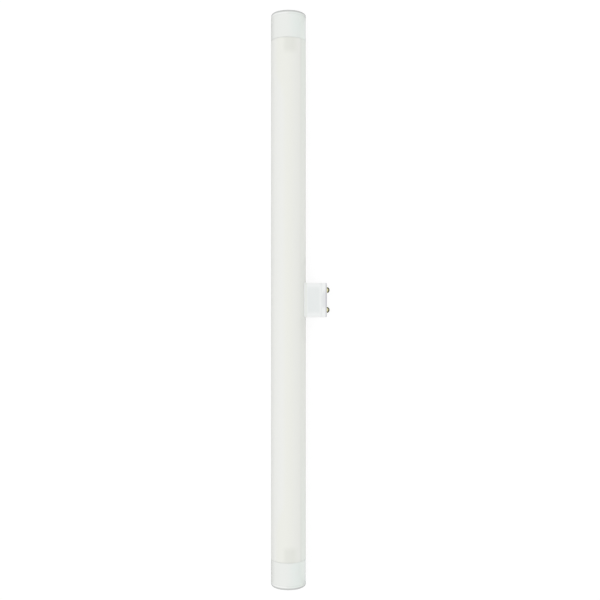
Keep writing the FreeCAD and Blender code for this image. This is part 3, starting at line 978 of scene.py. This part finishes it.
wire_thickness = 0.00025
core_radius = 0.0015
coil_low, coil_high = lamp_box("choke_winding")
coil_radius = (coil_high.y - coil_low.y) / 2
coil_height = coil_high.z - coil_low.z
coil_middle = (coil_low + coil_high) / 2
coil_start = -wire_thickness / 2
coil_end = coil_start + coil_height
inner_radius = coil_radius - wire_thickness * 0.6
inner_steps = 48
coil_tree, way_in, way_out = new_steps("coil_turns", Turns="Float", Radius="Float", Rise="Float",
                                       Wire="Float")
turns = node(coil_tree, "GeometryNodeCurveSpiral")
turns.inputs["Resolution"].default_value = 32
wire_section = node(coil_tree, "GeometryNodeCurvePrimitiveCircle")
wire_section.inputs["Resolution"].default_value = 8
wire_form = node(coil_tree, "GeometryNodeCurveToMesh")
wire_form.inputs["Fill Caps"].default_value = True
whole_coil = node(coil_tree, "GeometryNodeJoinGeometry")
link(coil_tree,
     (way_in, "Turns", turns, "Rotations"),
     (way_in, "Radius", turns, "Start Radius"),
     (way_in, "Radius", turns, "End Radius"),
     (way_in, "Rise", turns, "Height"),
     (way_in, "Wire", wire_section, "Radius"),
     (turns, "Curve", wire_form, "Curve"),
     (wire_section, "Curve", wire_form, "Profile Curve"),
     (wire_form, "Mesh", whole_coil, "Geometry"),
     (way_in, "Geometry", whole_coil, "Geometry"))
finish_steps(coil_tree, whole_coil, "Geometry", way_out, copper)
inner_layers = lathe("coil", [(core_radius, coil_start), (inner_radius, coil_start),
                              (inner_radius, coil_end), (core_radius, coil_end)], inner_steps)
inner_layers.data.transform(Matrix.Rotation(math.pi / 2, 4, "X"))
coil = run_steps(inner_layers, coil_tree, Turns=coil_height / wire_thickness - 1,
                 Radius=coil_radius - wire_thickness / 2, Rise=coil_height - wire_thickness,
                 Wire=wire_thickness / 2)
coil.data.transform(Matrix.Translation((coil_middle.x, coil_middle.y, coil_low.z - coil_start)))
place_piece(coil, copper, "copper_winding", 40, "choke_winding")


# The film capacitor
# A small boxed capacitor dipped in ochre epoxy, which pools a little darker towards its foot.
# It stands on the board beside the fuse resistor.
epoxy_ochre = (0.62, 0.36, 0.035)
epoxy_brown = (0.45, 0.23, 0.02)
ochre_epoxy = Finish("ochre_epoxy")
dip = ochre_epoxy.grain(1.1, 4)
pooled = fade(ochre_epoxy.z, board_high.z + 0.002, board_high.z, 0, 0.6)
colour = layered(epoxy_ochre, (epoxy_brown, larger(fade(dip, 0.4, 0.8), pooled)))
ochre_epoxy.lay(colour, roughness(dip, 0.25, 0.4), dip, 0.00005)
dress(ochre_epoxy, "film_capacitor")


# The fuse resistor
# A ceramic rod under pale green lacquer with colour bands, lying along the board. Its tinned wire
# ends come out on its axis and bend down into the board.
fuse_body_half = 0.0024
band_half_width = 0.0002
band_brown = (0.3, 0.12, 0.04)
band_black = (0.015, 0.015, 0.015)
band_gold = (0.6, 0.42, 0.1)
fuse_bands = ((-0.0015, band_brown), (-0.0008, band_black), (-0.0001, band_black), (0.0013, band_gold))
lacquer_tones = ((0.42, 0.6, 0.52), (0.33, 0.5, 0.43))
fuse_lacquer = Finish("fuse_lacquer")
along_body = fuse_lacquer.x - parts_middle
brushed = fuse_lacquer.grain(3, 3)
colour = mottled(brushed, lacquer_tones)
for band_place, band_colour in fuse_bands:
    from_band = abs(along_body - band_place)
    colour = layered(colour, (band_colour, fade(from_band, band_half_width + 0.00003, band_half_width)))
wire_amount = fade(abs(along_body), fuse_body_half, fuse_body_half + 0.00001)
colour = layered(colour, (tinned, wire_amount))
fuse_lacquer.lay(colour, roughness(brushed, 0.24, 0.36), brushed, 0.00001, metal=wire_amount)
dress(fuse_lacquer, "fuse_resistor")


# The flat packages
# The bridge rectifier and the driver chip, moulded in black epoxy with a matt spark-eroded face
# and soldered under the driver board by their tinned legs.
package_half_width = 0.0017
epoxy_tones = ((0.02, 0.02, 0.021), (0.045, 0.045, 0.047))
black_epoxy = Finish("black_epoxy")
eroded = black_epoxy.grain(12, 4)
beside_package = abs(black_epoxy.x - parts_middle) - package_half_width
leg_amount = fade(beside_package, 0.000005, 0.00002)
colour = layered(mottled(eroded, epoxy_tones), (tinned, leg_amount))
black_epoxy.lay(colour, roughness(eroded, 0.4, 0.6), eroded, 0.00003, metal=leg_amount)
dress(black_epoxy, "bridge_rectifier", "driver_chip")


# The wires
# Four short wires in soft plastic with tinned ends. Two white ones bring the mains from the solder
# tags to the driver board, and a red and a black one go through the foot's neck to the light board.
stripped_length = 0.0008
strip_edge = 0.0001
board_strip = board_high.z + stripped_length
light_strip = chips_high.x + stripped_length / 2
tag_strip = lamp_box("stud_tag_upper")[0].x - stripped_length


def dress_wires(name, tones, *node_names):
    """Gives wires their plastic, with bare tinned ends where they are soldered."""
    plastic = Finish(name)
    smear = plastic.grain(2.5, 3)
    at_board = fade(plastic.z, board_strip, board_strip - strip_edge)
    at_strip = fade(plastic.x, light_strip, light_strip - strip_edge)
    at_tag = fade(plastic.x, tag_strip, tag_strip + strip_edge)
    bare = larger(larger(at_board, at_strip), at_tag)
    colour = layered(mottled(smear, tones), (tinned, bare))
    plastic.lay(colour, roughness(smear, 0.36, 0.5), smear, 0.00001, metal=bare)
    dress(plastic, *node_names)


dress_wires("white_wire", ((0.86, 0.86, 0.83), (0.78, 0.78, 0.75)), "input_lead_upper", "input_lead_lower")
dress_wires("red_wire", ((0.52, 0.025, 0.02), (0.42, 0.015, 0.012)), "output_lead_plus")
dress_wires("black_wire", ((0.03, 0.03, 0.03), (0.018, 0.018, 0.018)), "output_lead_minus")


# The solder joints
# Small shiny cones of solder under the driver board, one where each wire comes through.
# Each climbs the wire's end and wets the whole ring.
joint_outline = [(0, 0), (0.00078, 0), (0.00072, 0.00008), (0.0005, 0.00022), (0.00038, 0.00042),
                 (0.00033, 0.00066), (0.0002, 0.00078), (0, 0.0008)]
joint_steps = 16
solder_light = (0.8, 0.8, 0.79)
solder_dull = (0.62, 0.62, 0.62)
solder = Finish("solder")
frosting = solder.grain(4, 4)
colour = layered(solder_light, (solder_dull, fade(frosting, 0.4, 0.7)))
solder.lay(colour, roughness(frosting, 0.14, 0.36), frosting, 0.00002, metal=1)
joint = lathe("joint", joint_outline, joint_steps)
joint.data.transform(Matrix.Rotation(-math.pi / 2, 4, "X"))
joint_tree, way_in, way_out = new_steps("joints_on_rings", Joint="Object")
joint_shape = node(joint_tree, "GeometryNodeObjectInfo")
joints = node(joint_tree, "GeometryNodeInstanceOnPoints")
link(joint_tree,
     (way_in, "Joint", joint_shape, "Object"),
     (way_in, "Geometry", joints, "Points"),
     (joint_shape, "Geometry", joints, "Instance"))
finish_steps(joint_tree, joints, "Instances", way_out, solder)
ring_middles = bmesh.new()
for pad_x, pad_y in pad_places:
    ring_middles.verts.new((pad_x, pad_y, board_low.z))
solder_joints = run_steps(from_form("solder_joints", ring_middles), joint_tree, Joint=joint)
bpy.data.objects.remove(joint)
place_piece(solder_joints, solder, "tag_brass", 40)


# The foot's end cover
# A moulded plate that closes the foot, 4.8 mm high, with its outer edges rounded like the housing's.
# A thin lip inside centres it, and a fine seam shows at the housing.
def bar_along_x(name, outline, y, steps):
    """Turns an outline of (radius, place along X) points about a line along X."""
    bar = lathe(name, outline, steps)
    bar.data.transform(Matrix.Translation((0, y, 0)) @ Matrix.Rotation(-math.pi / 2, 4, "Z"))
    return bar


cover_end_thickness = 0.0022
lip_height = 0.0018
lip_wall = 0.001
shank_radius = 0.0012
hole_steps = 48
lip_low = cover_seat - lip_height
lip_half = cavity_half - slide_gap
lip_side = cavity_side - slide_gap
hole_end = foot_reach + slide_gap
stud_place = mounts["stud_upper"]["pos_m"][1]
cover_form = foot_form(cover_seat, foot_reach, True)
round_edges(cover_form, edges_across(cover_form, cover_seat), seam_chamfer, 2)
cover = from_form("end_cover", cover_form)
lip = box_piece("lip", (lip_low, -lip_half, -lip_side), (cover_seat + lip_wall, lip_half, lip_side))
combine(cover, lip, "UNION")
hollow = box_piece("hollow", (lip_low - slide_gap, lip_wall - lip_half, lip_wall - lip_side),
                   (foot_reach - cover_end_thickness, lip_half - lip_wall, lip_side - lip_wall))
combine(cover, hollow, "DIFFERENCE")
for y in (-stud_place, stud_place):
    hole = bar_along_x("hole", [(0, cover_seat), (shank_radius, cover_seat), (shank_radius, hole_end),
                                (0, hole_end)], y, hole_steps)
    combine(cover, hole, "DIFFERENCE")
place_piece(cover, foot_plastic, "foot_plastic", 35, "foot_end_cover")


# The contact studs
# Two turned brass studs, riveted through the cover. Each shows a short collar and a polished dome,
# with fine turning rings, and its peened inner end clamps a solder tag.
stud_dims = mounts["stud_upper"]["dims"]
stud_radius = stud_dims["r_mm"] / 1000
stud_collar = stud_dims["length_mm"] / 1000
stud_dome = 0.0019
rivet_radius = 0.0017
rivet_height = 0.0006
tag_thickness = 0.0004
turned_edge = 0.0001
stud_steps = 96
dome_steps = 16
dome_start = foot_reach + stud_collar
dome_sphere = (stud_radius ** 2 + stud_dome ** 2) / (2 * stud_dome)
dome_angle = math.acos(stud_radius / dome_sphere)
sphere_centre = dome_start + stud_dome - dome_sphere
tag_face = foot_reach - cover_end_thickness - tag_thickness
stud_outline = [
    (0, tag_face - rivet_height),
    (rivet_radius - turned_edge, tag_face - rivet_height),
    (rivet_radius, tag_face - rivet_height + turned_edge),
    (rivet_radius, tag_face),
    (shank_radius, tag_face),
    (shank_radius, foot_reach),
    (stud_radius - turned_edge, foot_reach),
    (stud_radius, foot_reach + turned_edge),
    *[(across, sphere_centre + along)
      for across, along in arc(dome_sphere, dome_angle, math.pi / 2, dome_steps)],
]


def from_stud(finish):
    """How far a place is from the axis of the nearer stud."""
    return distance(abs(finish.y) - stud_place, finish.z)


brass_light = (0.95, 0.91, 0.55)
brass_dark = (0.38, 0.33, 0.13)
turning_per_metre = 40000
brass = Finish("turned_brass")
turning = reckon("SINE", from_stud(brass) * turning_per_metre)
tarnish = brass.grain(1.1, 4)
# Painted reflection: the dome darkens towards its rim, and tarnish darkens it at random.
painted_rim_amount = fade(from_stud(brass), 0.002, 0.0026) * fade(brass.x, dome_start - 0.0001, dome_start + 0.0003)
colour = layered(brass_light, (brass_dark, larger(painted_rim_amount, fade(tarnish, 0.52, 0.85))))
brass.lay(colour, fade(tarnish, 0.3, 0.8, 0.16, 0.34), turning, 0.000002, metal=1)
for stud_name, y in (("stud_upper", stud_place), ("stud_lower", -stud_place)):
    stud = bar_along_x(stud_name, stud_outline, y, stud_steps)
    place_piece(stud, brass, "stud_brass", 30, "contact_" + stud_name)


# The solder tags
# Each stud's peened end clamps a small stamped tag of tinned brass. Its lug points to the lamp's
# middle and takes the end of a white wire, and the tin wears to brass round the rivet.
tag_tin = (0.7, 0.68, 0.6)
tag_worn = (0.66, 0.55, 0.3)
tinned_brass = Finish("tinned_brass")
rubbed = tinned_brass.grain(2.5, 4)
worn_amount = larger(fade(from_stud(tinned_brass), 0.0021, 0.0017), fade(rubbed, 0.5, 0.75, 0, 0.6))
tinned_brass.lay(layered(tag_tin, (tag_worn, worn_amount)), roughness(rubbed, 0.25, 0.42), rubbed, 0.00001,
                 metal=1)
dress(tinned_brass, "stud_tag_upper", "stud_tag_lower")
